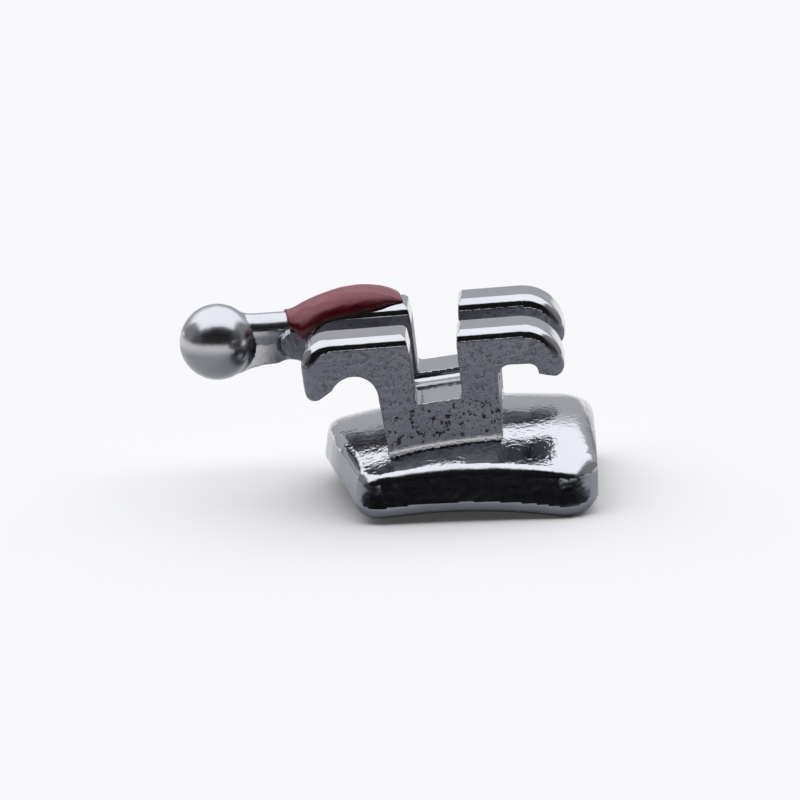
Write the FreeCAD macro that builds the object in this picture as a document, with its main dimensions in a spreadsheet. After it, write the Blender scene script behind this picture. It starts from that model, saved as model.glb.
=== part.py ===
# Orthodontic twin bracket with a ball hook and an enamel colour mark.
# Millimetres, +Z points away from the tooth, +Y runs along the archwire slot
# and -X is the hook side. The origin lies under the middle of the slot, in the
# plane the bonding pad rests on.
import FreeCAD, Part
import Sketcher
import math
import os

Vec = FreeCAD.Vector

# Sizes in millimetres and degrees
SIZES = {
    "slot_width": 0.56,
    "slot_parallel": 0.60,
    "slot_flare": 6.5,
    "slot_corner": 0.06,
    "slot_bevel": 0.045,
    "slot_height": 1.3419,
    "slot_torque": 4.7,
    "slot_bearing": 1.4,
    "face_skew": 8.0,
    "twin_depth": 0.69,
    "twin_gap": 0.94,
    "gap_floor": -0.11,
    "gap_corner": 0.09,
    "wing_top": 0.806,
    "wing_slope": 4.12,
    "wing_near_round": 0.14,
    "wing_far_round": 0.11,
    "pad_crown": 1.0219,
    "pad_thickness": 0.52,
    "pad_radius_across": 3.9,
    "pad_radius_along": 7.8,
    "pad_radius_under": 9.6,
    "pad_middle": 0.50,
    "pad_skew": 8.0,
    "pad_draft": 9.0,
    "pad_edge_round": 0.14,
    "pad_foot_round": 0.12,
    "groove_depth": 0.10,
    "groove_width": 0.15,
    "groove_pitch": 0.36,
    "groove_sweep": 44.0,
    "cross_pitch": 7.2,
    "cross_angle": 2.7,
    "ball_radius": 0.45,
    "neck_radius": 0.205,
    "root_thickness": 0.50,
    "rib_thickness": 0.30,
    "enamel_film": 0.035,
}

doc = FreeCAD.newDocument("Bracket")
sheet = doc.addObject("Spreadsheet::Sheet", "Sizes")
for row, (alias, value) in enumerate(SIZES.items(), start=1):
    sheet.set(f"A{row}", alias)
    sheet.set(f"B{row}", str(value))
    sheet.setAlias(f"B{row}", alias)
doc.recompute()


def size(alias):
    return SIZES[alias]


def bind(thing, path, expression):
    thing.setExpression(path, expression)


def plane(body, role):
    return next(f for f in body.Origin.OriginFeatures if f.Role == role)


def polar(centre, radius, degrees):
    angle = math.radians(degrees)
    return (centre[0] + radius * math.cos(angle), centre[1] + radius * math.sin(angle))


def line(p, q):
    return Part.LineSegment(Vec(p[0], p[1], 0), Vec(q[0], q[1], 0))


def arc(centre, radius, start, end):
    """Counter-clockwise arc between two angles in degrees."""
    circle = Part.Circle(Vec(centre[0], centre[1], 0), Vec(0, 0, 1), radius)
    return Part.ArcOfCircle(circle, math.radians(start), math.radians(end))


def start_sketch(body, name, support, offset=None):
    sketch = body.newObject("Sketcher::SketchObject", name)
    sketch.AttachmentSupport = (support, [""])
    sketch.MapMode = "FlatFace"
    if offset is not None:
        sketch.AttachmentOffset = offset
    return sketch


def close_loop(sketch, pieces):
    """Adds the pieces and ties each end to the nearest end of the next piece."""
    first = sketch.GeometryCount
    for piece in pieces:
        sketch.addGeometry(piece, False)
    count = len(pieces)
    taken = set()
    for i in range(count):
        a = first + i
        b = first + (i + 1) % count
        pairs = [(u, w) for u in (1, 2) for w in (1, 2) if (a, u) not in taken and (b, w) not in taken]
        u, w = min(pairs, key=lambda p: (sketch.getPoint(a, p[0]) - sketch.getPoint(b, p[1])).Length)
        taken.update([(a, u), (b, w)])
        sketch.addConstraint(Sketcher.Constraint("Coincident", a, u, b, w))
    return first


def drive(sketch, kind, refs, alias, expression=None):
    """Adds one dimension at its drawn value and ties it to the sheet."""
    value = size(alias) if expression is None else expression[1]
    if kind == "Angle":
        value = math.radians(value)
    index = sketch.addConstraint(Sketcher.Constraint(kind, *refs, value))
    text = f"Sizes.{alias}" if expression is None else expression[0]
    bind(sketch, f"Constraints[{index}]", text)
    return index


def feature(body, kind, name, sketch):
    item = body.newObject(kind, name)
    item.Profile = sketch
    sketch.Visibility = False
    return item


def edges_where(shape, test):
    return [f"Edge{i}" for i, edge in enumerate(shape.Edges, start=1) if test(edge)]


def middle(edge):
    return edge.valueAt((edge.FirstParameter + edge.LastParameter) / 2)


def report(item):
    print(f"{item.Label}: volume {item.Shape.Volume:.4f} mm3, {len(item.Shape.Faces)} faces")


# Frame of the head
# The head is turned by its torque about the slot and its end faces are skewed
# against the slot, so that the wings follow the long axis of the tooth.
torque = FreeCAD.Rotation(Vec(0, 1, 0), -size("slot_torque"))
skew = FreeCAD.Rotation(Vec(0, 0, 1), size("face_skew"))
head_turn = torque * skew
bearing = math.radians(size("slot_bearing"))
slot_way = Vec(math.sin(bearing), math.cos(bearing), 0)
slot_middle = Vec(0, 0, size("slot_height"))
face_angle = math.radians(size("face_skew") + size("slot_bearing"))
total_depth = 2 * size("twin_depth") + size("twin_gap")
run = total_depth / math.cos(face_angle)
near_point = slot_middle - slot_way * (run / 2)
upright = FreeCAD.Rotation(Vec(1, 0, 0), 90)


def head_offset(point):
    """Offset that lays a sketch of the XZ plane into a face of the head."""
    world = FreeCAD.Placement(point, head_turn * upright)
    base = FreeCAD.Placement(Vec(0, 0, 0), upright)
    return base.inverse() * world


def head_point(x, z, along):
    """Point at x, z in a face of the head, some way along the slot from its middle."""
    return slot_middle + slot_way * along + head_turn.multVec(Vec(x, 0, z))


bracket = doc.addObject("PartDesign::Body", "bracket")
bracket.Label = "bracket"

# Bonding pad
# A slab of even thickness, curved both ways to follow the tooth. The curve
# runs along the long axis of the tooth, so it is skewed like the head.
pad_way = Vec(math.cos(math.radians(size("pad_skew"))), math.sin(math.radians(size("pad_skew"))), 0)
pad_side = Vec(-pad_way.y, pad_way.x, 0)
pad_sketch = start_sketch(
    bracket, "PadBand", plane(bracket, "XZ_Plane"),
    FreeCAD.Placement(Vec(0, 0, 0), FreeCAD.Rotation(Vec(0, 1, 0), size("pad_skew"))),
)
axis_height = size("pad_crown") - size("pad_radius_across")
along_centre = (size("pad_middle"), size("pad_crown") - size("pad_radius_along"))
outer = size("pad_radius_along")
inner = size("pad_radius_under")
under_centre = (along_centre[0], size("pad_crown") - size("pad_thickness") - inner)
outer_half = math.degrees(math.asin(2.3 / outer))
inner_half = math.degrees(math.asin(2.3 / inner))
band = [
    arc(along_centre, outer, 90 - outer_half, 90 + outer_half),
    line(polar(along_centre, outer, 90 + outer_half), polar(under_centre, inner, 90 + inner_half)),
    arc(under_centre, inner, 90 - inner_half, 90 + inner_half),
    line(polar(under_centre, inner, 90 - inner_half), polar(along_centre, outer, 90 - outer_half)),
]
close_loop(pad_sketch, band)
drive(pad_sketch, "Radius", (0,), "pad_radius_along")
drive(pad_sketch, "Radius", (2,), "pad_radius_under")
drive(pad_sketch, "DistanceX", (-1, 1, 0, 3), "pad_middle")
axis_line = pad_sketch.addGeometry(line((-3, axis_height), (3, axis_height)), True)
pad_sketch.addConstraint(Sketcher.Constraint("Horizontal", axis_line))
drive(
    pad_sketch, "DistanceY", (axis_line, 1, -1, 1), "pad_crown",
    ("Sizes.pad_radius_across - Sizes.pad_crown", -axis_height),
)
doc.recompute()
slab = feature(bracket, "PartDesign::Revolution", "PadSlab", pad_sketch)
slab.ReferenceAxis = (pad_sketch, ["Axis0"])
slab.Angle = 76
slab.Midplane = True
doc.recompute()
report(slab)

# Plan outline of the pad
# Straight near edge, rounded corners and a bulging left edge towards the gum.
# The mould opens upwards, so the outline shrinks with height by the draft.
near_y = -1.65
far_y = 1.64
corners = [
    (-0.95, near_y),
    (1.75, near_y),
    (1.71, far_y),
    (-0.96, far_y - 0.04),
    (-1.43, 0.62),
    (-1.29, -0.55),
]
rounds = [0.28, 0.42, 0.34, 0.77, 2.0, 2.4]
wall_middle = 0.511


def inset_corners(points, inset):
    """Corners of the polygon with every side moved inwards by the inset."""
    moved = []
    count = len(points)
    for i in range(count):
        corner = Vec(*points[i], 0)
        back = (Vec(*points[i - 1], 0) - corner).normalize()
        ahead = (Vec(*points[(i + 1) % count], 0) - corner).normalize()
        half = back.getAngle(ahead) / 2
        spot = corner + (back + ahead).normalize() * (inset / math.sin(half))
        moved.append((spot.x, spot.y))
    return moved


def rounded_polygon(points, radii):
    """Lines and tangent arcs of a polygon with a radius at each corner."""
    trimmed = []
    arcs = []
    count = len(points)
    for i in range(count):
        corner = Vec(*points[i], 0)
        back = (Vec(*points[i - 1], 0) - corner).normalize()
        ahead = (Vec(*points[(i + 1) % count], 0) - corner).normalize()
        spread = back.getAngle(ahead)
        cut = radii[i] / math.tan(spread / 2)
        start = corner + back * cut
        end = corner + ahead * cut
        centre = corner + (back + ahead).normalize() * (radii[i] / math.sin(spread / 2))
        middle_point = centre + (corner - centre).normalize() * radii[i]
        trimmed.append((start, end))
        arcs.append(Part.Arc(start, middle_point, end))
    pieces = []
    for i in range(count):
        pieces.append(arcs[i])
        pieces.append(Part.LineSegment(trimmed[i][1], trimmed[(i + 1) % count][0]))
    return pieces


plug = doc.addObject("PartDesign::Body", "pad_plug")
plug_sketches = []
for height in (-0.30, 1.30):
    inset = (height - wall_middle) * math.tan(math.radians(size("pad_draft")))
    lift = FreeCAD.Placement(Vec(0, 0, height), FreeCAD.Rotation())
    outline = start_sketch(plug, "PadOutline", plane(plug, "XY_Plane"), lift)
    close_loop(outline, rounded_polygon(inset_corners(corners, inset), [r - inset for r in rounds]))
    plug_sketches.append(outline)
doc.recompute()
taper = plug.newObject("PartDesign::AdditiveLoft", "PadTaper")
taper.Profile = plug_sketches[0]
taper.Sections = [plug_sketches[1]]
taper.Ruled = True
doc.recompute()
report(taper)
trim = bracket.newObject("PartDesign::Boolean", "PadTrim")
trim.Type = "Common"
trim.Group = [plug]
doc.recompute()
report(trim)


def pad_gap(point, centre, radius):
    """Distance of a point from the pad surface with this long curve."""
    along = point.dot(pad_way) - centre[0]
    across = point.dot(pad_side)
    reach = centre[1] + math.sqrt(radius**2 - along**2) - axis_height
    return reach - math.hypot(across, point.z - axis_height)


def edge_on(edge, centre, radius):
    span = edge.LastParameter - edge.FirstParameter
    samples = [edge.valueAt(edge.FirstParameter + t * span) for t in (0.05, 0.5, 0.95)]
    return all(abs(pad_gap(p, centre, radius)) < 2e-3 for p in samples)


pad_round = bracket.newObject("PartDesign::Fillet", "PadEdgeRound")
pad_round.Base = (trim, edges_where(trim.Shape, lambda e: edge_on(e, along_centre, outer)))
bind(pad_round, "Radius", "Sizes.pad_edge_round")
doc.recompute()
report(pad_round)

foot_round = bracket.newObject("PartDesign::Fillet", "PadFootRound")
foot_round.Base = (pad_round, edges_where(pad_round.Shape, lambda e: edge_on(e, under_centre, inner)))
bind(foot_round, "Radius", "Sizes.pad_foot_round")
doc.recompute()
report(foot_round)

# Retention pattern
# Crossed grooves in the bonding face leave rows of small pegs that key into
# the cement. The rim round them stays plain.
groove_sketch = start_sketch(
    bracket, "GrooveProfile", plane(bracket, "XZ_Plane"), pad_sketch.AttachmentOffset,
)
groove_count = 8
turn_step = math.degrees(size("groove_pitch") / inner)
half_turn = math.degrees(size("groove_width") / inner) / 2
pattern_turn = math.degrees((size("pad_middle") - 0.16) / inner)
for number in range(groove_count):
    lean = 90 + pattern_turn + (number - (groove_count - 1) / 2) * turn_step
    low = inner - 0.1
    high = inner + size("groove_depth")
    box = [
        polar(under_centre, low, lean - half_turn),
        polar(under_centre, high, lean - half_turn),
        polar(under_centre, high, lean + half_turn),
        polar(under_centre, low, lean + half_turn),
    ]
    close_loop(groove_sketch, [line(box[i], box[(i + 1) % 4]) for i in range(4)])
groove_axis = groove_sketch.addGeometry(line((-3, axis_height), (3, axis_height)), True)
doc.recompute()
grooves = feature(bracket, "PartDesign::Groove", "Grooves", groove_sketch)
grooves.ReferenceAxis = (groove_sketch, ["Axis0"])
bind(grooves, "Angle", "Sizes.groove_sweep")
grooves.Midplane = True
doc.recompute()
report(grooves)

cross_sketch = start_sketch(
    bracket, "CrossGrooveProfile", plane(bracket, "XZ_Plane"), pad_sketch.AttachmentOffset,
)
reach_turn = (groove_count - 1) / 2 * turn_step + half_turn
first_turn = 90 + pattern_turn - reach_turn
last_turn = 90 + pattern_turn + reach_turn
cross_band = [
    arc(under_centre, inner + size("groove_depth"), first_turn, last_turn),
    line(polar(under_centre, inner + size("groove_depth"), last_turn), polar(under_centre, inner - 0.1, last_turn)),
    arc(under_centre, inner - 0.1, first_turn, last_turn),
    line(polar(under_centre, inner - 0.1, first_turn), polar(under_centre, inner + size("groove_depth"), first_turn)),
]
close_loop(cross_sketch, cross_band)
cross_sketch.addGeometry(line((-3, axis_height), (3, axis_height)), True)
doc.recompute()
cross = feature(bracket, "PartDesign::Groove", "CrossGroove", cross_sketch)
cross.ReferenceAxis = (cross_sketch, ["Axis0"])
bind(cross, "Angle", "Sizes.cross_angle")
cross.Midplane = True
doc.recompute()
report(cross)
for way in (False, True):
    row_pattern = bracket.newObject("PartDesign::PolarPattern", "CrossRows")
    row_pattern.Originals = [cross]
    row_pattern.Axis = (cross_sketch, ["Axis0"])
    row_pattern.Occurrences = 4
    row_pattern.Angle = 3 * size("cross_pitch")
    row_pattern.Reversed = way
    bracket.Tip = row_pattern
    doc.recompute()
    report(row_pattern)

# Wings and stem
# One profile, seen along the slot, gives the stem and the four tie wings.
wing_sketch = start_sketch(bracket, "WingProfile", plane(bracket, "XZ_Plane"), head_offset(near_point))
slope = size("wing_slope")
rise = math.tan(math.radians(slope))


def top_at(x):
    return size("wing_top") - rise * x


left_corner = (-1.25, 0.0)
left_radius = 0.32
left_lift = left_radius / math.cos(math.radians(slope))
left_corner = (left_corner[0], top_at(left_corner[0]) - left_lift)
right_radius = 0.51
right_corner = (1.005, top_at(1.005) - right_radius / math.cos(math.radians(slope)))
left_tip = (-1.435, 0.345)
left_tip_radius = 0.135
left_arch = (-0.99, 0.145)
left_arch_radius = 0.29
right_tip = (1.395, 0.205)
right_tip_radius = 0.12
right_arch = (0.86, 0.16)
right_arch_radius = 0.14
right_hollow = (1.09, 0.165)
right_hollow_radius = 0.11
foot = -0.70

points = {
    "foot_left": (-0.645, foot),
    "stem_left": polar(left_arch, left_arch_radius, -3),
    "arch_end": polar(left_arch, left_arch_radius, 148),
    "tip_in": polar(left_tip, left_tip_radius, -52),
    "tip_out": polar(left_tip, left_tip_radius, 205),
    "side_left": polar(left_corner, left_radius, 180),
    "top_left": polar(left_corner, left_radius, 90 - slope),
    "top_right": polar(right_corner, right_radius, 90 - slope),
    "side_right": polar(right_corner, right_radius, 0),
    "tip_right_out": polar(right_tip, right_tip_radius, -25),
    "tip_right_in": polar(right_tip, right_tip_radius, -112),
    "hollow_end": polar(right_hollow, right_hollow_radius, -12),
    "hollow_start": polar(right_hollow, right_hollow_radius, 82),
    "arch_top": polar(right_arch, right_arch_radius, 86),
    "stem_right": polar(right_arch, right_arch_radius, 183),
    "foot_right": (0.678, foot),
}
profile = [
    line(points["foot_left"], points["stem_left"]),
    arc(left_arch, left_arch_radius, -3, 148),
    line(points["arch_end"], points["tip_in"]),
    arc(left_tip, left_tip_radius, 205, 308),
    line(points["tip_out"], points["side_left"]),
    arc(left_corner, left_radius, 90 - slope, 180),
    line(points["top_left"], points["top_right"]),
    arc(right_corner, right_radius, 0, 90 - slope),
    line(points["side_right"], points["tip_right_out"]),
    arc(right_tip, right_tip_radius, 248, 335),
    line(points["tip_right_in"], points["hollow_end"]),
    arc(right_hollow, right_hollow_radius, -12, 82),
    line(points["hollow_start"], points["arch_top"]),
    arc(right_arch, right_arch_radius, 86, 183),
    line(points["stem_right"], points["foot_right"]),
    line(points["foot_right"], points["foot_left"]),
]
close_loop(wing_sketch, profile)
doc.recompute()
head = feature(bracket, "PartDesign::Pad", "Head", wing_sketch)
head.UseCustomVector = True
head.Direction = slot_way
head.AlongSketchNormal = False
head.Type = "Length"
head.Length = run
doc.recompute()
report(head)

# Gap between the twins
# A trench with rounded corners runs across the slot, parallel to the end faces.
across = FreeCAD.Rotation(Vec(0, 0, 1), 90) * FreeCAD.Rotation(Vec(1, 0, 0), 90)
gap_world = FreeCAD.Placement(slot_middle, head_turn * across)
gap_base = FreeCAD.Placement(Vec(0, 0, 0), across)
gap_sketch = start_sketch(bracket, "GapProfile", plane(bracket, "YZ_Plane"), gap_base.inverse() * gap_world)
half_gap = size("twin_gap") / 2
gap_floor = size("gap_floor")
gap_corner = size("gap_corner")
clear = size("wing_top") + 0.8
gap_loop = [
    line((-half_gap, clear), (-half_gap, gap_floor + gap_corner)),
    arc((-half_gap + gap_corner, gap_floor + gap_corner), gap_corner, 180, 270),
    line((-half_gap + gap_corner, gap_floor), (half_gap - gap_corner, gap_floor)),
    arc((half_gap - gap_corner, gap_floor + gap_corner), gap_corner, 270, 360),
    line((half_gap, gap_floor + gap_corner), (half_gap, clear)),
    line((half_gap, clear), (-half_gap, clear)),
]
close_loop(gap_sketch, gap_loop)
drive(gap_sketch, "DistanceX", (0, 1, 4, 2), "twin_gap")
doc.recompute()
gap = feature(bracket, "PartDesign::Pocket", "TwinGap", gap_sketch)
gap.Midplane = True
gap.Type = "Length"
gap.Length = 6
doc.recompute()
report(gap)

# Archwire slot
# Rectangular, with parallel walls, small floor corners and a flared mouth.
slot_sketch = start_sketch(bracket, "SlotProfile", plane(bracket, "XZ_Plane"), head_offset(near_point - slot_way))
half_slot = size("slot_width") / 2
corner = size("slot_corner")
mouth = size("slot_parallel")
flare = math.tan(math.radians(size("slot_flare")))
bevel = size("slot_bevel")
left_lip = top_at(-half_slot) - bevel
right_lip = top_at(half_slot) - bevel
left_wide = half_slot + (left_lip - mouth) * flare
right_wide = half_slot + (right_lip - mouth) * flare
reach_out = 0.4
slot_loop = [
    line((-half_slot + corner, 0), (half_slot - corner, 0)),
    arc((half_slot - corner, corner), corner, 270, 360),
    line((half_slot, corner), (half_slot, mouth)),
    line((half_slot, mouth), (right_wide, right_lip)),
    line((right_wide, right_lip), (right_wide + reach_out, right_lip + reach_out)),
    line((right_wide + reach_out, right_lip + reach_out), (-left_wide - reach_out, left_lip + reach_out)),
    line((-left_wide - reach_out, left_lip + reach_out), (-left_wide, left_lip)),
    line((-left_wide, left_lip), (-half_slot, mouth)),
    line((-half_slot, mouth), (-half_slot, corner)),
    arc((-half_slot + corner, corner), corner, 180, 270),
]
close_loop(slot_sketch, slot_loop)
drive(slot_sketch, "DistanceX", (8, 2, 2, 1), "slot_width")
doc.recompute()
slot = feature(bracket, "PartDesign::Pocket", "ArchwireSlot", slot_sketch)
slot.UseCustomVector = True
slot.Direction = slot_way
slot.AlongSketchNormal = False
slot.Type = "Length"
slot.Length = run + 2
doc.recompute()
report(slot)


# Rounded wing edges
# Polishing leaves the outer edges of each twin broadly rounded.
near_normal = head_turn.multVec(Vec(0, -1, 0))


def face_depth(point):
    """Distance of a point from the middle of the head, square to its end faces."""
    return -(point - slot_middle).dot(near_normal)


def head_coordinates(point):
    local = head_turn.inverted().multVec(point - slot_middle)
    return local.x - local.y * math.tan(face_angle), local.z


def wing_rim(edge, depths):
    """True for the outer rim of a wing: top, shoulder and outer side."""
    span = edge.LastParameter - edge.FirstParameter
    samples = [edge.valueAt(edge.FirstParameter + t * span) for t in (0.02, 0.5, 0.98)]
    if not any(all(abs(face_depth(p) - d) < 1e-3 for p in samples) for d in depths):
        return False
    x, z = head_coordinates(middle(edge))
    if abs(x) < half_slot + 0.12:
        return False
    if z > 0.52:
        return True
    return z > 0.40 and (x < left_tip[0] - 0.1 or x > right_tip[0] + 0.1)


far_face = total_depth / 2
near_rims = edges_where(slot.Shape, lambda e: wing_rim(e, (-far_face, half_gap)))
near_fillet = bracket.newObject("PartDesign::Fillet", "WingNearRound")
near_fillet.Base = (slot, near_rims)
bind(near_fillet, "Radius", "Sizes.wing_near_round")
doc.recompute()
report(near_fillet)
far_rims = edges_where(near_fillet.Shape, lambda e: wing_rim(e, (far_face, -half_gap)))
far_fillet = bracket.newObject("PartDesign::Fillet", "WingFarRound")
far_fillet.Base = (near_fillet, far_rims)
bind(far_fillet, "Radius", "Sizes.wing_far_round")
doc.recompute()
report(far_fillet)


# Hook
# A ball on a straight neck springs from the far wing on the gum side. Its
# root flares into the wing and a short rib of casting stays under the neck.
hook_along = (size("twin_gap") / 2 + size("twin_depth") / 2) / math.cos(face_angle)


def in_hook_plane(sketch_name, shift=0.0):
    """Sketch in the middle of the far twin, moved along the slot by the shift."""
    point = slot_middle + slot_way * (hook_along + shift)
    return start_sketch(bracket, sketch_name, plane(bracket, "XZ_Plane"), head_offset(point))


def slab_pad(name, sketch, thickness_alias):
    pad = feature(bracket, "PartDesign::Pad", name, sketch)
    pad.Type = "Length"
    pad.Midplane = True
    bind(pad, "Length", f"Sizes.{thickness_alias}")
    doc.recompute()
    report(pad)
    return pad


def polygon(points):
    count = len(points)
    return [line(points[i], points[(i + 1) % count]) for i in range(count)]


root_points = [
    (-1.36, 0.280), (-1.66, 0.295), (-1.80, 0.345), (-1.90, 0.50), (-1.90, 0.62), (-1.78, 0.70), (-1.36, 0.74),
]
rib_points = [
    (-1.80, 0.36), (-1.90, 0.285), (-2.17, 0.30), (-2.36, 0.25), (-2.46, 0.30), (-2.46, 0.66), (-1.80, 0.66),
]
root_sketch = in_hook_plane("HookRootProfile")
close_loop(root_sketch, polygon(root_points))
slab_pad("HookRoot", root_sketch, "root_thickness")
rib_sketch = in_hook_plane("HookRibProfile")
close_loop(rib_sketch, polygon(rib_points))
slab_pad("HookRib", rib_sketch, "rib_thickness")

ball_centre = head_point(-2.60, 0.652, hook_along)
neck_centre = head_point(-2.005, 0.714, hook_along)
neck_length = 1.15
neck_shift = 0.60
neck_way = skew.multVec(Vec(1, 0, 0))
neck_frame = FreeCAD.Placement(neck_centre - neck_way * neck_shift, skew * across)
neck_sketch = start_sketch(bracket, "NeckCircle", plane(bracket, "YZ_Plane"), gap_base.inverse() * neck_frame)
neck_sketch.addGeometry(Part.Circle(Vec(0, 0, 0), Vec(0, 0, 1), size("neck_radius")), False)
neck_sketch.addConstraint(Sketcher.Constraint("Coincident", 0, 3, -1, 1))
drive(neck_sketch, "Radius", (0,), "neck_radius")
doc.recompute()
neck = feature(bracket, "PartDesign::Pad", "HookNeck", neck_sketch)
neck.Type = "Length"
neck.Length = neck_length
doc.recompute()
report(neck)

ball_frame = FreeCAD.Placement(ball_centre, skew * upright)
upright_base = FreeCAD.Placement(Vec(0, 0, 0), upright)
ball_sketch = start_sketch(bracket, "BallProfile", plane(bracket, "XZ_Plane"), upright_base.inverse() * ball_frame)
ball_radius = size("ball_radius")
close_loop(ball_sketch, [arc((0, 0), ball_radius, 90, 270), line((0, -ball_radius), (0, ball_radius))])
ball_sketch.addConstraint(Sketcher.Constraint("Coincident", 0, 3, -1, 1))
drive(ball_sketch, "Radius", (0,), "ball_radius")
doc.recompute()
ball = feature(bracket, "PartDesign::Revolution", "HookBall", ball_sketch)
ball.ReferenceAxis = (ball_sketch, ["V_Axis"])
ball.Angle = 360
doc.recompute()
report(ball)


# Enamel colour mark
# A cushion of fired enamel sits on the hooked wing and runs over its edge.
# Each section across the wing is a half ellipse on two short straight sides.
mark = doc.addObject("PartDesign::Body", "mark_cushion")
mark_half = size("twin_depth") / 2 + size("enamel_film")
rim_clear = size("twin_depth") / 2 - size("wing_near_round")
# Place along the wing, crown height, height of the sides, height of the base,
# and how far the near side has come over the rounded rim, from 0 to 1.
mark_sections = [
    (-0.375, 0.895, 0.825, 0.800, 0.00),
    (-0.47, 0.962, 0.820, 0.790, 0.15),
    (-0.62, 1.028, 0.805, 0.768, 0.60),
    (-0.85, 1.078, 0.785, 0.735, 1.00),
    (-1.10, 1.072, 0.745, 0.690, 1.00),
    (-1.35, 1.025, 0.700, 0.610, 1.00),
    (-1.55, 0.960, 0.620, 0.500, 0.85),
    (-1.765, 0.918, 0.620, 0.480, 0.55),
]
section_sketches = []
for number, (x, crown, edge_height, base_height, spill) in enumerate(mark_sections, start=1):
    frame_here = FreeCAD.Placement(
        slot_middle + slot_way * hook_along + head_turn.multVec(Vec(x, 0, 0)), head_turn * across,
    )
    section = start_sketch(mark, f"MarkSection{number}", plane(mark, "YZ_Plane"), gap_base.inverse() * frame_here)
    far_side = mark_half if x > -1.6 else 0.82 * mark_half
    near_side = rim_clear + (mark_half - rim_clear) * spill
    half_span = (far_side + near_side) / 2
    middle_shift = (far_side - near_side) / 2
    rise_here = crown - edge_height
    dome = Part.Ellipse(Vec(middle_shift, edge_height, 0), max(half_span, rise_here), min(half_span, rise_here))
    pieces = [
        line((-near_side, base_height), (far_side, base_height)),
        line((far_side, base_height), (far_side, edge_height)),
        Part.ArcOfEllipse(dome, 0, math.pi),
        line((-near_side, edge_height), (-near_side, base_height)),
    ]
    close_loop(section, pieces)
    section_sketches.append(section)
doc.recompute()
cushion = mark.newObject("PartDesign::AdditiveLoft", "Cushion")
cushion.Profile = section_sketches[0]
cushion.Sections = section_sketches[1:]
doc.recompute()
report(cushion)

# The cushion takes the shape of the wing under it, so the two meet face to face.
colour_mark = doc.addObject("Part::Cut", "colour_mark")
colour_mark.Label = "colour_mark"
colour_mark.Base = mark
colour_mark.Tool = bracket
doc.recompute()
report(colour_mark)

for item in doc.Objects:
    if "Invalid" in item.State or "Error" in item.State:
        raise RuntimeError(f"{item.Label} failed to build")

os.makedirs("parts", exist_ok=True)
for node in (bracket, colour_mark):
    shape = node.Shape
    if shape.isNull() or not shape.isValid() or len(shape.Solids) != 1:
        raise RuntimeError(f"{node.Label} is not one valid solid")
    shape.exportStep(f"parts/{node.Label}.step")
    print(f"{node.Label}: {shape.Volume:.4f} mm3")
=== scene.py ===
# %% [markdown]
# # A cast steel bracket with a ball hook and a red enamel mark
# The object is smaller than a fingernail: 4.8 mm long, 3.4 mm deep and 2.3 mm
# high. One casting carries a curved bonding pad, a stem, four tie wings, a slot
# and a hook, and a drop of red enamel is fired onto one wing.
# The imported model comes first, because every piece is fitted to it.

# %% Load the frame
import bpy
import math
import numpy as np
from mathutils import Matrix, Vector


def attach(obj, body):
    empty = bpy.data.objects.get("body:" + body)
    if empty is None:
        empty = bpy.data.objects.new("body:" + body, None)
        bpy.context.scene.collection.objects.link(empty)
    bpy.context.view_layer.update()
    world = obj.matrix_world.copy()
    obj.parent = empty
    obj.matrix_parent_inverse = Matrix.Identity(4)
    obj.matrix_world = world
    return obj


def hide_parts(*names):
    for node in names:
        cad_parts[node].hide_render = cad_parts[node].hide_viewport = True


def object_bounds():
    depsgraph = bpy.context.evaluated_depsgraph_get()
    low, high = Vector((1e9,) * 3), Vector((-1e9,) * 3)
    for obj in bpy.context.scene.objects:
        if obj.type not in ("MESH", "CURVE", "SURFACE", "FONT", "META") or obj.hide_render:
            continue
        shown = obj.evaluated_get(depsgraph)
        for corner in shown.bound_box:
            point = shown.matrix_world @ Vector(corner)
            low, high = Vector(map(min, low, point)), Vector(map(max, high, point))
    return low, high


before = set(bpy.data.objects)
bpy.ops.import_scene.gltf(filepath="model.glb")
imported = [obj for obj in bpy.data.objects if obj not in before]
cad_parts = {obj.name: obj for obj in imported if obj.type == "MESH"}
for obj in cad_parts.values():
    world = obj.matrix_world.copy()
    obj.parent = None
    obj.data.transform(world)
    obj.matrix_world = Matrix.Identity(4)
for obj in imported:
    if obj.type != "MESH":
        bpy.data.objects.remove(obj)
frame_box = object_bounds()
MM = 0.001
scene = bpy.context.scene
scene.view_settings.view_transform = "Standard"
print("frame box in mm", [[round(c / MM, 3) for c in corner] for corner in frame_box])

# %% [markdown]
# ## Camera
# The photograph looks along the archwire slot from 13 degrees above it, with a
# long lens from far away, so parallel edges stay parallel. The picture is also
# turned by about two degrees. The three axes of the camera are given directly.

# %% Camera
CAMERA_RIGHT = Vector((0.99926, -0.008636, -0.037405))
CAMERA_UP = Vector((0.03839, 0.22478, 0.97365))
CAMERA_BACK = CAMERA_RIGHT.cross(CAMERA_UP).normalized()
PICTURE_CENTRE = Vector((-0.4814, -1.1690, 1.3702)) * MM
PICTURE_WIDTH = 9.302 * MM
LENS = 500.0
SENSOR = 36.0

camera_data = bpy.data.cameras.new("camera")
camera_data.lens = LENS
camera_data.sensor_width = SENSOR
camera_data.clip_start = 0.001
camera_data.clip_end = 10.0
camera = bpy.data.objects.new("camera", camera_data)
scene.collection.objects.link(camera)
camera_distance = PICTURE_WIDTH * LENS / SENSOR
turn = Matrix((CAMERA_RIGHT, CAMERA_UP, CAMERA_BACK)).transposed()
stand = Matrix.Translation(PICTURE_CENTRE + CAMERA_BACK * camera_distance)
camera.matrix_world = stand @ turn.to_4x4()
scene.camera = camera
print("camera stands", round(camera_distance / MM, 1), "mm away")

# %% [markdown]
# ## Light
# Polished steel shows the room more than itself, so the room is the light. It
# has a wide soft box overhead, a pale far side and a dark side behind the
# camera. The sky is built from the direction alone: an angle that starts at
# the horizon behind the camera, passes overhead and ends at the far horizon.

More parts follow.
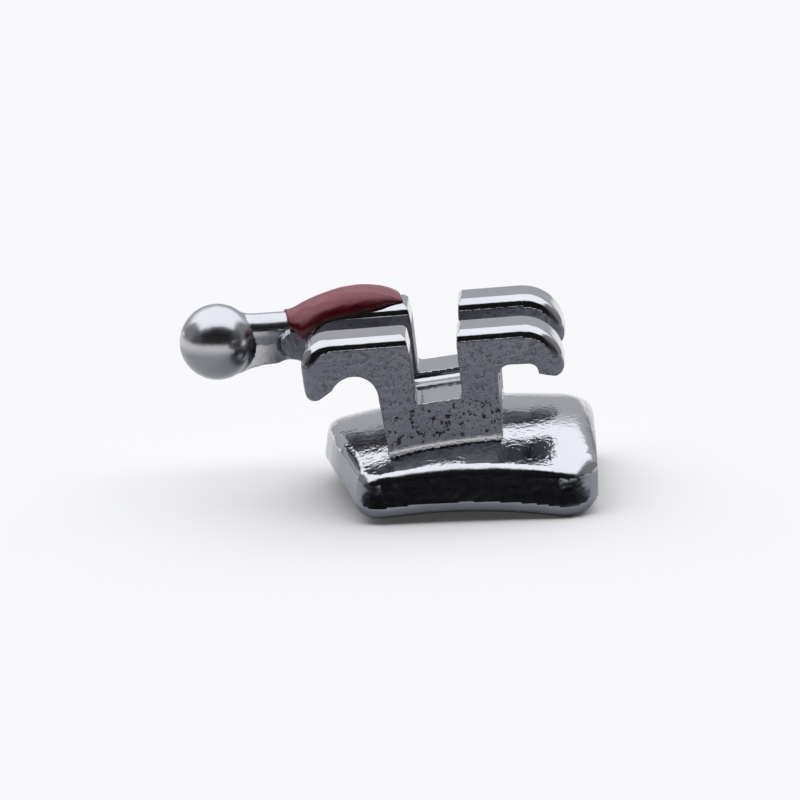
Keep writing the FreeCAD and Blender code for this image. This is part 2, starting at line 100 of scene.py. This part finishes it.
# %% Sky with a soft box
SKY = scene.world or bpy.data.worlds.new("sky")
scene.world = SKY
SKY.use_nodes = True
sky = SKY.node_tree
sky.nodes.clear()


def add(tree, kind, **settings):
    """Adds a node to a tree and sets its properties."""
    node = tree.nodes.new(kind)
    for name, value in settings.items():
        setattr(node, name, value)
    return node


def math_node(tree, operation, a, b=None, c=None):
    """Adds a Math node whose inputs are sockets or plain numbers, and gives its output."""
    node = add(tree, "ShaderNodeMath", operation=operation)
    for index, value in enumerate((a, b, c)):
        if value is None:
            continue
        if isinstance(value, (int, float)):
            node.inputs[index].default_value = value
        else:
            tree.links.new(value, node.inputs[index])
    return node.outputs[0]


def times(tree, a, b):
    """The product of two sockets or numbers."""
    return math_node(tree, "MULTIPLY", a, b)


def plus(tree, a, b):
    """The sum of two sockets or numbers."""
    return math_node(tree, "ADD", a, b)


def ramp_node(tree, factor, stops):
    """Adds a colour ramp with stops of (place, colour) and gives its colour output."""
    node = add(tree, "ShaderNodeValToRGB")
    tree.links.new(factor, node.inputs["Fac"])
    elements = node.color_ramp.elements
    while len(elements) > 1:
        elements.remove(elements[-1])
    elements[0].position = stops[0][0]
    elements[0].color = (*stops[0][1], 1.0)
    for place, colour in stops[1:]:
        element = elements.new(place)
        element.color = (*colour, 1.0)
    return node.outputs["Color"]


BOX_LIGHT = 1.6
FAR_LIGHT = 0.55
DARK_SIDE = 0.012
SIDE_LIGHT = 0.3
SIDE_LOW_LIGHT = 0.11
SIDE_FROM, SIDE_FULL = 0.70, 0.78
SKY_TINT = (0.96, 0.985, 1.06, 1.0)
WHITE, BLACK = (1, 1, 1), (0, 0, 0)

sky_place = add(sky, "ShaderNodeTexCoord")
sky_axes = add(sky, "ShaderNodeSeparateXYZ")
sky.links.new(sky_place.outputs["Generated"], sky_axes.inputs[0])
toward_camera = times(sky, sky_axes.outputs["Y"], -1.0)
overhead = math_node(sky, "ARCTAN2", sky_axes.outputs["Z"], toward_camera)
overhead_turn = math_node(sky, "DIVIDE", overhead, math.pi)
level = ramp_node(
    sky, overhead_turn,
    [
        (0.0, (DARK_SIDE,) * 3),
        (0.31, (DARK_SIDE,) * 3),
        (0.35, (BOX_LIGHT,) * 3),
        (0.79, (BOX_LIGHT,) * 3),
        (0.83, (FAR_LIGHT * 1.15,) * 3),
        (0.90, (FAR_LIGHT,) * 3),
        (1.0, (FAR_LIGHT * 0.85,) * 3),
    ],
)
side_reach = math_node(sky, "ABSOLUTE", sky_axes.outputs["X"])
side_mask = ramp_node(
    sky, side_reach,
    [(0.0, WHITE), (SIDE_FROM, WHITE), (SIDE_FULL, BLACK), (1.0, BLACK)],
)
side_level = ramp_node(
    sky, overhead_turn,
    [
        (0.0, (DARK_SIDE,) * 3),
        (0.25, (SIDE_LOW_LIGHT,) * 3),
        (0.5, (SIDE_LIGHT,) * 3),
        (1.0, (SIDE_LIGHT,) * 3),
    ],
)
blend = add(sky, "ShaderNodeMix", data_type="RGBA")
sky.links.new(side_mask, blend.inputs["Factor"])
sky.links.new(side_level, blend.inputs["A"])
sky.links.new(level, blend.inputs["B"])
tint = add(sky, "ShaderNodeMix", data_type="RGBA", blend_type="MULTIPLY")
tint.inputs["Factor"].default_value = 1.0
tint.inputs["B"].default_value = SKY_TINT
sky.links.new(blend.outputs["Result"], tint.inputs["A"])
glow = add(sky, "ShaderNodeBackground")
sky.links.new(tint.outputs["Result"], glow.inputs["Color"])
sky_out = add(sky, "ShaderNodeOutputWorld")
sky.links.new(glow.outputs[0], sky_out.inputs["Surface"])
print("sky nodes", len(sky.nodes))

# %% [markdown]
# ## Floor
# A plain pale sheet runs past the photograph's view, so that no horizon shows
# in it. A faint glow lifts the sheet towards white. Only the camera, mirrors and
# clear pieces see that glow, through the Light Path node, so the sheet throws no
# more light on the object.

# %% Floor
FLOOR_REACH = 1.0
FLOOR_GLOW = 0.04
FLOOR_COLOUR = (0.95, 0.93, 0.885, 1.0)
bpy.ops.object.select_all(action="DESELECT")
bpy.ops.mesh.primitive_plane_add(size=2 * FLOOR_REACH, location=(0, 0, 0))
floor = bpy.context.object
floor.name = "floor"
floor_paint = bpy.data.materials.new("floor_paint")
floor_paint.use_nodes = True
floor_tree = floor_paint.node_tree
floor_shader = floor_tree.nodes["Principled BSDF"]
floor_shader.inputs["Base Color"].default_value = FLOOR_COLOUR
floor_shader.inputs["Roughness"].default_value = 1.0
floor_shader.inputs["Specular IOR Level"].default_value = 0.0
rays = add(floor_tree, "ShaderNodeLightPath").outputs
seen = plus(floor_tree, rays["Is Camera Ray"], rays["Is Glossy Ray"])
seen = plus(floor_tree, seen, rays["Is Transmission Ray"])
glow_level = times(floor_tree, math_node(floor_tree, "MINIMUM", seen, 1.0), FLOOR_GLOW)
floor_shader.inputs["Emission Color"].default_value = (1.0, 1.0, 1.0, 1.0)
floor_tree.links.new(glow_level, floor_shader.inputs["Emission Strength"])
floor.data.materials.append(floor_paint)
print("floor reaches", FLOOR_REACH, "m each way")

# %% [markdown]
# ## The casting
# A tumbled casting has no sharp edge anywhere, and its skin flows from the pad
# over the stem into the hook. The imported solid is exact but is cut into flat
# facets, which polished steel would show. So a copy of it is merged, turned
# into one even skin of small squares, relaxed a little and thinned. The work is
# done in millimetres, because the remesher has a smallest step of its own, and
# the piece is scaled down at the end.

# %% Helpers for pieces
TO_MM = 1.0 / MM


def select_only(piece):
    """Makes one object the only selected and active one."""
    bpy.ops.object.select_all(action="DESELECT")
    piece.select_set(True)
    bpy.context.view_layer.objects.active = piece


def apply_modifier(piece, kind, **settings):
    """Adds a modifier with its settings and applies it at once."""
    select_only(piece)
    modifier = piece.modifiers.new(kind.lower(), kind)
    for name, value in settings.items():
        setattr(modifier, name, value)
    bpy.ops.object.modifier_apply(modifier=modifier.name)


def points_of(piece):
    """All points of a piece as an array."""
    table = np.zeros(len(piece.data.vertices) * 3)
    piece.data.vertices.foreach_get("co", table)
    return table.reshape(-1, 3)


def put_points(piece, table):
    """Writes the points of a piece back."""
    piece.data.vertices.foreach_set("co", table.ravel())
    piece.data.update()


def copy_in_mm(node, name):
    """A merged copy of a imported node, a thousand times larger."""
    piece = bpy.data.objects.new(name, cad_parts[node].data.copy())
    scene.collection.objects.link(piece)
    piece.data.transform(Matrix.Scale(TO_MM, 4))
    select_only(piece)
    bpy.ops.object.mode_set(mode="EDIT")
    bpy.ops.mesh.select_all(action="SELECT")
    bpy.ops.mesh.remove_doubles(threshold=1e-4)
    bpy.ops.object.mode_set(mode="OBJECT")
    return piece


# %% [markdown]
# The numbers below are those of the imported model, in millimetres. The head leans
# by its torque and is turned by its skew, and the slot has a bearing of its own.

# %% Numbers of the casting
SLOT_HEIGHT = 1.3419
PAD_CROWN = 1.0219
TORQUE = math.radians(4.7)
SKEW = math.radians(8.0)
BEARING = math.radians(1.4)
PAD_ALONG = 7.8
PAD_ACROSS = 3.9
PAD_MIDDLE = 0.50
TWIN_DEPTH = 0.69
TWIN_GAP = 0.94


def turn_about(axis, angle):
    """The turn about an axis as an array."""
    return np.array(Matrix.Rotation(angle, 3, axis))


head_turn = turn_about("Y", -TORQUE) @ turn_about("Z", SKEW)
head_x, _, head_z = head_turn.T
slot_way = np.array([math.sin(BEARING), math.cos(BEARING), 0.0])
slot_middle = np.array([0.0, 0.0, SLOT_HEIGHT])
HOOK_ALONG = (TWIN_GAP + TWIN_DEPTH) / 2 / math.cos(SKEW + BEARING)


def head_point(x, z, along):
    """The point of the frame at a place in the head."""
    return slot_middle + slot_way * along + head_x * x + head_z * z


# %% Skin of the casting
VOXEL = 0.0195
SKIN_ROUNDS = 4
TRIANGLE_LIMIT = 190000
casting = copy_in_mm("bracket", "bracket_casting")
casting.data.remesh_voxel_size = VOXEL
casting.data.use_remesh_preserve_volume = True
select_only(casting)
bpy.ops.object.voxel_remesh()
apply_modifier(casting, "SMOOTH", factor=0.5, iterations=SKIN_ROUNDS)
print("skin squares", len(casting.data.polygons))
triangles = 2 * len(casting.data.polygons)
if triangles > TRIANGLE_LIMIT:
    apply_modifier(casting, "DECIMATE", ratio=TRIANGLE_LIMIT / triangles)
print("triangles kept", len(casting.data.polygons))

# %% [markdown]
# The far end of the pad is fuller than its drafted wall: it stands almost
# upright and turns over into the top with a wide round.

# %% Fill out the end of the pad
END_START, END_FULL = 1.15, 1.55
END_FILL = 0.115
END_DROP = 0.55
END_TURN = 1.38
RISE_FROM, RISE_TO = 0.10, 0.55


def smooth(low, high, value):
    """0 up to low, 1 from high on, with a soft run between them."""
    share = np.clip((value - low) / (high - low), 0.0, 1.0)
    return share * share * (3.0 - 2.0 * share)


def fill_end(piece):
    """Moves the upper part of the pad's end outwards and rounds it over, and gives where."""
    points = points_of(piece)
    along = points[:, 0] * math.cos(SKEW) + points[:, 1] * math.sin(SKEW)
    end = smooth(END_START, END_FULL, along) * (points[:, 2] < PAD_CROWN)
    share = end * smooth(RISE_FROM, RISE_TO, points[:, 2])
    limit = np.maximum(points[:, 0], frame_box[1][0] * TO_MM)
    points[:, 0] = np.minimum(points[:, 0] + END_FILL * share, limit)
    points[:, 2] -= END_DROP * np.clip(along - END_TURN, 0.0, 1.0) ** 2 * share
    put_points(piece, points)
    return share


own_share = fill_end(casting)

# %% [markdown]
# The hook is polished by hand where the ball, the neck and the rib meet, so
# their seams are worn into one soft form.

# %% Soften the root of the hook
SOFT_FROM, SOFT_TO = -2.42, -1.55
SOFT_FADE_IN, SOFT_FADE_OUT = 0.12, 0.10
SOFT_ROUNDS = 90


def soften_root(piece):
    """Smooths the neck and its seams, and gives where."""
    x = points_of(piece)[:, 0]
    fade_out = 1.0 - smooth(SOFT_TO - SOFT_FADE_OUT, SOFT_TO, x)
    share = smooth(SOFT_FROM, SOFT_FROM + SOFT_FADE_IN, x) * fade_out
    group = piece.vertex_groups.new(name="hook_root")
    for index in np.flatnonzero(share > 0.01):
        group.add([int(index)], float(share[index]), "REPLACE")
    apply_modifier(piece, "SMOOTH", factor=0.5, iterations=SOFT_ROUNDS, vertex_group=group.name)
    return share


own_share = np.maximum(own_share, soften_root(casting))

# %% [markdown]
# A skin of small squares shades unevenly on polished metal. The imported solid
# knows the true direction of every surface, so those directions are carried
# over wherever the skin agrees with them. At the edges and in the corners the
# skin's own directions stay, and they give the soft edges of a tumbled part.

# %% Carry the true directions over
AGREE_FULL = math.cos(math.radians(16.0))
AGREE_NONE = math.cos(math.radians(34.0))


def unit(table):
    """Directions of length one."""
    return table / np.maximum(np.linalg.norm(table, axis=1), 1e-12)[:, None]


def true_directions(piece, node, own_share):
    """Blends the node's exact surface directions into the piece where both agree."""
    apply_modifier(
        piece, "DATA_TRANSFER", object=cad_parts[node], use_loop_data=True,
        data_types_loops={"CUSTOM_NORMAL"}, loop_mapping="POLYINTERP_NEAREST",
    )
    mesh = piece.data
    own = np.array([n.vector for n in mesh.vertex_normals])
    corners = np.array([n.vector for n in mesh.corner_normals])
    corner_points = np.zeros(len(mesh.loops), dtype=int)
    mesh.loops.foreach_get("vertex_index", corner_points)
    exact = np.zeros_like(own)
    np.add.at(exact, corner_points, corners)
    exact = unit(exact)
    likeness = (own * exact).sum(1)
    agree = np.clip((likeness - AGREE_NONE) / (AGREE_FULL - AGREE_NONE), 0.0, 1.0)
    agree *= 1.0 - own_share
    blended = unit(own * (1.0 - agree)[:, None] + exact * agree[:, None])
    mesh.normals_split_custom_set_from_vertices(blended)
    print(piece.name, "share of exact directions", round(float(agree.mean()), 3))


casting.data.transform(Matrix.Scale(MM, 4))
select_only(casting)
bpy.ops.object.shade_smooth()
true_directions(casting, "bracket", own_share)
casting.data.materials.clear()
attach(casting, "root")
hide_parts("bracket")
print("casting faces", len(casting.data.polygons))

# %% [markdown]
# ## Shared effects of the skin
# A pattern that both metal and enamel use is a node group: it is built once
# and gets its own values in each material. All of them work on Object
# coordinates, which are metres, so the first step turns them into millimetres.

# %% Node group helpers
def socket(group, name, way, kind="NodeSocketFloat", value=None):
    """Adds a named socket to a node group and sets its starting value."""
    item = group.interface.new_socket(name=name, in_out=way, socket_type=kind)
    if value is not None:
        item.default_value = value
    return item


def start_group(name, inputs, outputs):
    """Makes a node group with named inputs and outputs and gives its tree and ends."""
    group = bpy.data.node_groups.new(name, "ShaderNodeTree")
    for label, kind, value in inputs:
        socket(group, label, "INPUT", kind, value)
    for label in outputs:
        socket(group, label, "OUTPUT")
    return group, add(group, "NodeGroupInput"), add(group, "NodeGroupOutput")


def use_group(tree, group, **values):
    """Places a node group in a material with its own values."""
    node = add(tree, "ShaderNodeGroup", node_tree=group)
    for label, value in values.items():
        node.inputs[label.replace("_", " ")].default_value = value
    return node


def smooth_step(tree, value, low, high, start=0.0, end=1.0):
    """Runs smoothly from start to end while the value goes from low to high."""
    node = add(tree, "ShaderNodeMapRange", interpolation_type="SMOOTHSTEP")
    node.inputs["From Min"].default_value = low
    node.inputs["From Max"].default_value = high
    node.inputs["To Min"].default_value = start
    node.inputs["To Max"].default_value = end
    tree.links.new(value, node.inputs["Value"])
    return node.outputs["Result"]


def mix_colours(tree, factor, first, second, blend_type="MIX"):
    """Mixes two colours, each a socket or a plain colour."""
    node = add(tree, "ShaderNodeMix", data_type="RGBA", blend_type=blend_type)
    for label, value in (("Factor", factor), ("A", first), ("B", second)):
        if isinstance(value, bpy.types.NodeSocket):
            tree.links.new(value, node.inputs[label])
        elif label == "Factor":
            node.inputs[label].default_value = value
        else:
            node.inputs[label].default_value = (*value, 1.0)
    return node.outputs["Result"]


def surface_place(tree):
    """Place in millimetres, its three axes, and the three axes of the way a face points."""
    coordinates = add(tree, "ShaderNodeTexCoord")
    scaled = add(tree, "ShaderNodeVectorMath", operation="SCALE")
    scaled.inputs["Scale"].default_value = TO_MM
    tree.links.new(coordinates.outputs["Object"], scaled.inputs[0])
    axes = add(tree, "ShaderNodeSeparateXYZ")
    tree.links.new(scaled.outputs[0], axes.inputs[0])
    facing = add(tree, "ShaderNodeSeparateXYZ")
    tree.links.new(coordinates.outputs["Normal"], facing.inputs[0])
    return scaled.outputs[0], axes.outputs, facing.outputs


def dot_with(tree, place, way):
    """How far a place lies along a direction."""
    node = add(tree, "ShaderNodeVectorMath", operation="DOT_PRODUCT")
    tree.links.new(place, node.inputs[0])
    node.inputs[1].default_value = way
    return node.outputs["Value"]


def sag(tree, distance, radius):
    """How far a curve of this radius has fallen at this distance from its crown."""
    return times(tree, times(tree, distance, distance), 0.5 / radius)


def pattern(tree, group, place, **values):
    """Places a shared effect and gives its outputs."""
    node = use_group(tree, group, **values)
    tree.links.new(place, node.inputs["Place"])
    return node.outputs


def bump(tree, shader, height, depth):
    """Lets a height tilt the surface; its depth is in metres."""
    node = add(tree, "ShaderNodeBump")
    node.inputs["Strength"].default_value = 1.0
    node.inputs["Distance"].default_value = depth
    tree.links.new(height, node.inputs["Height"])
    tree.links.new(node.outputs["Normal"], shader.inputs["Normal"])


# %% Group: pits of the casting skin
PIT_LEVEL, PIT_REACH, PIT_RAMP = 0.78, 0.3, 0.06
pits_group, ends, out = start_group(
    "casting_pits",
    [
        ("Place", "NodeSocketVector", None),
        ("Size", "NodeSocketFloat", 20.0),
        ("Share", "NodeSocketFloat", 0.4),
    ],
    ["Pits", "Grain"],
)
grain = add(pits_group, "ShaderNodeTexNoise")
grain.inputs["Detail"].default_value = 3.0
grain.inputs["Roughness"].default_value = 0.6
pits_group.links.new(ends.outputs["Place"], grain.inputs["Vector"])
pits_group.links.new(ends.outputs["Size"], grain.inputs["Scale"])
lowered = times(pits_group, ends.outputs["Share"], PIT_REACH)
threshold = math_node(pits_group, "SUBTRACT", PIT_LEVEL, lowered)
pit_depth = math_node(pits_group, "SUBTRACT", grain.outputs["Fac"], threshold)
pit_depth = math_node(pits_group, "DIVIDE", pit_depth, PIT_RAMP)
pit_depth = math_node(pits_group, "MAXIMUM", pit_depth, 0.0)
pit_depth = math_node(pits_group, "MINIMUM", pit_depth, 1.0)
pits_group.links.new(pit_depth, out.inputs["Pits"])
pits_group.links.new(grain.outputs["Fac"], out.inputs["Grain"])

# %% Group: waves left by polishing
waves_group, ends, out = start_group(
    "polish_waves",
    [("Place", "NodeSocketVector", None), ("Size", "NodeSocketFloat", 6.0)],
    ["Waves"],
)
waves = add(waves_group, "ShaderNodeTexNoise")
waves.inputs["Detail"].default_value = 2.0
waves.inputs["Roughness"].default_value = 0.45
waves.inputs["Distortion"].default_value = 0.4
waves_group.links.new(ends.outputs["Place"], waves.inputs["Vector"])
waves_group.links.new(ends.outputs["Size"], waves.inputs["Scale"])
waves_group.links.new(waves.outputs["Fac"], out.inputs["Waves"])
print("shared effects", pits_group.name, waves_group.name)

# %% [markdown]
# ## Steel
# Tumbling polishes what stands proud and faces up: the pad, the ball, the tops
# and every edge. The upright faces of the stem and the wings keep their
# duller, rougher and pitted casting skin, and their darker colour is partly that
# skin and partly painted shade. A mask tells the two apart by the way a face
# points and by its height.

# %% Steel: masks
BALL_X, BALL_Z = -2.60, 0.652
BALL_FREE, BALL_LEFT = 0.47, 0.78
UPRIGHT_FULL, UPRIGHT_NONE = 0.11, 0.19
PAD_NEAR, PAD_CLEAR = 0.02, 0.07

steel = bpy.data.materials.new("polished_cast_steel")
steel.use_nodes = True
tree = steel.node_tree
shader = tree.nodes["Principled BSDF"]
shader.inputs["Metallic"].default_value = 1.0
place, axes, facing = surface_place(tree)

from_ball = add(tree, "ShaderNodeVectorMath", operation="DISTANCE")
tree.links.new(place, from_ball.inputs[0])
from_ball.inputs[1].default_value = tuple(head_point(BALL_X, BALL_Z, HOOK_ALONG))
off_ball = smooth_step(tree, from_ball.outputs["Value"], BALL_FREE, BALL_LEFT)
upright = smooth_step(tree, facing["Z"], UPRIGHT_FULL, UPRIGHT_NONE, 1.0, 0.0)
along = dot_with(tree, place, (math.cos(SKEW), math.sin(SKEW), 0.0))
across = dot_with(tree, place, (-math.sin(SKEW), math.cos(SKEW), 0.0))
from_middle = math_node(tree, "SUBTRACT", along, PAD_MIDDLE)
fall = plus(tree, sag(tree, from_middle, PAD_ALONG), sag(tree, across, PAD_ACROSS))
pad_surface = math_node(tree, "SUBTRACT", PAD_CROWN, fall)
over_pad = math_node(tree, "SUBTRACT", axes["Z"], pad_surface)
above_pad = smooth_step(tree, over_pad, PAD_NEAR, PAD_CLEAR)
skin = times(tree, times(tree, upright, above_pad), off_ball)

# %% [markdown]
# Gas and sand leave pits of two sizes in a cast face. The coarse ones sit on the
# stem and thin out above the slot. Polishing leaves slow waves and fine ripples,
# and a still slower cloud makes the tone of the metal uneven.

# %% Steel: pits and waves
PIT_SIZE, PIT_SHARE = 15.0, 0.68
FINE_SIZE, FINE_SHARE, FINE_DEPTH = 38.0, 0.50, 0.6
PITS_HIGH_UP = 0.35
THIN_FROM, THIN_TO = SLOT_HEIGHT - 0.10, SLOT_HEIGHT + 0.05
WAVE_SIZE, RIPPLE_SIZE, CLOUD_SIZE = 5.0, 17.0, 2.2

pits = pattern(tree, pits_group, place, Size=PIT_SIZE, Share=PIT_SHARE)
fine_pits = pattern(tree, pits_group, place, Size=FINE_SIZE, Share=FINE_SHARE)
low_down = smooth_step(tree, axes["Z"], THIN_TO, THIN_FROM, PITS_HIGH_UP, 1.0)
coarse = times(tree, pits["Pits"], low_down)
fine = times(tree, fine_pits["Pits"], FINE_DEPTH)
skin_pits = times(tree, math_node(tree, "MAXIMUM", coarse, fine), skin)
waves = pattern(tree, waves_group, place, Size=WAVE_SIZE)["Waves"]
ripples = pattern(tree, waves_group, place, Size=RIPPLE_SIZE)["Waves"]
clouds = pattern(tree, waves_group, place, Size=CLOUD_SIZE)["Waves"]

# %% Steel: colour
POLISHED = (0.555, 0.555, 0.555)
CAST_SKIN_AND_SHADE = (0.145, 0.148, 0.178)
CLOUDED = (0.36, 0.36, 0.39)
PAD_WALL_SHADE = (0.22, 0.23, 0.26)
UNDERSIDE_SHADE = (0.16, 0.168, 0.195)
PIT_SHADE_COLOUR = (0.03, 0.028, 0.028)
CLOUD_SHARE, UNDERSIDE_SHADE_SHARE = 0.35, 0.8

# Upright faces get the cast-skin colour: a real duller skin, darkened further as painted shade.
metal = mix_colours(tree, skin, POLISHED, CAST_SKIN_AND_SHADE)
metal = mix_colours(tree, times(tree, clouds, CLOUD_SHARE), metal, CLOUDED)
# Painted shade: the steep walls of the pad below its top get a darker colour, so they look
# dimmer.
below_pad = smooth_step(tree, over_pad, -0.10, -0.03, 1.0, 0.0)
steep = smooth_step(tree, facing["Z"], 0.20, 0.35, 1.0, 0.0)
metal = mix_colours(tree, times(tree, steep, below_pad), metal, PAD_WALL_SHADE)
# Painted shade: faces that point down are darkened towards a bluish grey.
underside_shade = smooth_step(tree, facing["Z"], -0.25, 0.10, UNDERSIDE_SHADE_SHARE, 0.0)
metal = mix_colours(tree, underside_shade, metal, UNDERSIDE_SHADE)
# Painted shade: the pits get a near-black colour for the shade inside them.
metal = mix_colours(tree, skin_pits, metal, PIT_SHADE_COLOUR)
tree.links.new(metal, shader.inputs["Base Color"])

# %% Steel: roughness
POLISHED_ROUGH, SKIN_ROUGH = 0.08, 0.27
HOOK_ROUGH, FOOT_ROUGH, RIPPLE_ROUGH = 0.11, 0.22, 0.06
HOOK_FROM, HOOK_TO = -1.75, -1.55
FOOT_LOW, FOOT_HIGH = 0.08, 0.20

polished = math_node(tree, "SUBTRACT", 1.0, skin)
hook_side = smooth_step(tree, axes["X"], HOOK_FROM, HOOK_TO, HOOK_ROUGH, 0.0)
foot_band = smooth_step(tree, axes["Z"], FOOT_HIGH, FOOT_LOW, 0.0, 1.0)
rough = plus(tree, times(tree, skin, SKIN_ROUGH), POLISHED_ROUGH)
rough = plus(tree, rough, times(tree, hook_side, polished))
rough = plus(tree, rough, times(tree, foot_band, FOOT_ROUGH))
rough = plus(tree, rough, times(tree, ripples, RIPPLE_ROUGH))
tree.links.new(rough, shader.inputs["Roughness"])

# %% Steel: relief
RELIEF_DEPTH = 0.008 * MM
RIPPLE_ON_PAD, RIPPLE_ELSEWHERE = 0.5, 0.05
WAVE_HEIGHT, GRAIN_HEIGHT, PIT_HEIGHT = 0.5, 1.4, 0.9

low = smooth_step(tree, axes["Z"], PAD_CROWN + 0.02, PAD_CROWN - 0.03)
lying = smooth_step(tree, facing["Z"], 0.55, 0.85)
ripple_share = times(tree, times(tree, low, lying), RIPPLE_ON_PAD)
ripple_share = plus(tree, ripple_share, RIPPLE_ELSEWHERE)
height = plus(tree, times(tree, ripples, ripple_share), times(tree, waves, WAVE_HEIGHT))
height = plus(tree, height, times(tree, times(tree, pits["Grain"], skin), GRAIN_HEIGHT))
height = math_node(tree, "SUBTRACT", height, times(tree, skin_pits, PIT_HEIGHT))
bump(tree, shader, height, RELIEF_DEPTH)
casting.data.materials.append(steel)
print("steel nodes", len(tree.nodes))

# %% [markdown]
# ## Enamel
# Fired enamel is glass: a deep red body under a smooth gloss. Its colour is
# painted lighter on faces that point up and near black on faces that turn away,
# as painted light and shade. It runs thin towards its lower edge, where the metal
# shows through.

# %% Enamel
ENAMEL_LIT_TOP = (0.29, 0.060, 0.085)
ENAMEL_SHADED_SIDE = (0.045, 0.001, 0.003)
ENAMEL_MOTTLE = (0.16, 0.014, 0.022)
MOTTLE_SIZE, MOTTLE_SHARE, MOTTLE_DEPTH = 7.0, 0.5, 0.004 * MM

enamel = bpy.data.materials.new("red_enamel")
enamel.use_nodes = True
tree = enamel.node_tree
shader = tree.nodes["Principled BSDF"]
place, axes, facing = surface_place(tree)
# Painted light and shade: faces that point up get a lighter red, faces turned sideways or down
# a near-black red.
enamel_shade_share = smooth_step(tree, facing["Z"], 0.25, 0.90, 1.0, 0.0)
body = mix_colours(tree, enamel_shade_share, ENAMEL_LIT_TOP, ENAMEL_SHADED_SIDE)
mottle = pattern(tree, waves_group, place, Size=MOTTLE_SIZE)["Waves"]
body = mix_colours(tree, times(tree, mottle, MOTTLE_SHARE), body, ENAMEL_MOTTLE)
tree.links.new(body, shader.inputs["Base Color"])
shader.inputs["Roughness"].default_value = 0.26
shader.inputs["Specular IOR Level"].default_value = 0.32
bump(tree, shader, mottle, MOTTLE_DEPTH)
print("enamel nodes", len(tree.nodes))

# %% [markdown]
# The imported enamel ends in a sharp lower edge. Real enamel runs out thin, so a
# copy of it gets a soft skin, and what hangs below the true edge is tucked into
# the metal. The edge is a line of places along the wing with their heights.

# %% Enamel piece
ENAMEL_EDGE_X = [-1.783, -1.750, -1.597, -1.331, -0.727, -0.387]
ENAMEL_EDGE_Z = [2.110, 1.926, 1.755, 1.970, 2.099, 2.177]
EDGE_DEPTH = 0.45
SIGHT_SLOPE = math.tan(math.radians(13.0))
TUCK = 0.15
TUCK_FROM, TUCK_TO = -0.015, 0.03
MARK_MIDDLE = 0.68
MARK_TURN = 0.08
SWELL = 0.045
SWELL_HEIGHT = 0.34
MARK_VOXEL = 0.0105
MARK_ROUNDS, LAST_ROUNDS = 25, 4

mark = copy_in_mm("colour_mark", "red_mark")
mark.data.remesh_voxel_size = MARK_VOXEL
select_only(mark)
bpy.ops.object.voxel_remesh()
apply_modifier(mark, "SMOOTH", factor=0.5, iterations=MARK_ROUNDS)
points = points_of(mark)
height_seen = points[:, 2] + SIGHT_SLOPE * (points[:, 1] - EDGE_DEPTH)
below = np.interp(points[:, 0], ENAMEL_EDGE_X, ENAMEL_EDGE_Z) - height_seen
near_side = 1.0 - smooth(MARK_MIDDLE - MARK_TURN, MARK_MIDDLE + MARK_TURN, points[:, 1])
swell = np.sin(math.pi * np.clip(-below / SWELL_HEIGHT, 0.0, 1.0))
points[:, 1] -= near_side * SWELL * swell
points[:, 1] += near_side * TUCK * smooth(TUCK_FROM, TUCK_TO, below)
put_points(mark, points)
apply_modifier(mark, "SMOOTH", factor=0.5, iterations=LAST_ROUNDS)
mark.data.transform(Matrix.Scale(MM, 4))
select_only(mark)
bpy.ops.object.shade_smooth()
mark.data.materials.clear()
mark.data.materials.append(enamel)
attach(mark, "root")
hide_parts("colour_mark")
print("enamel faces", len(mark.data.polygons))
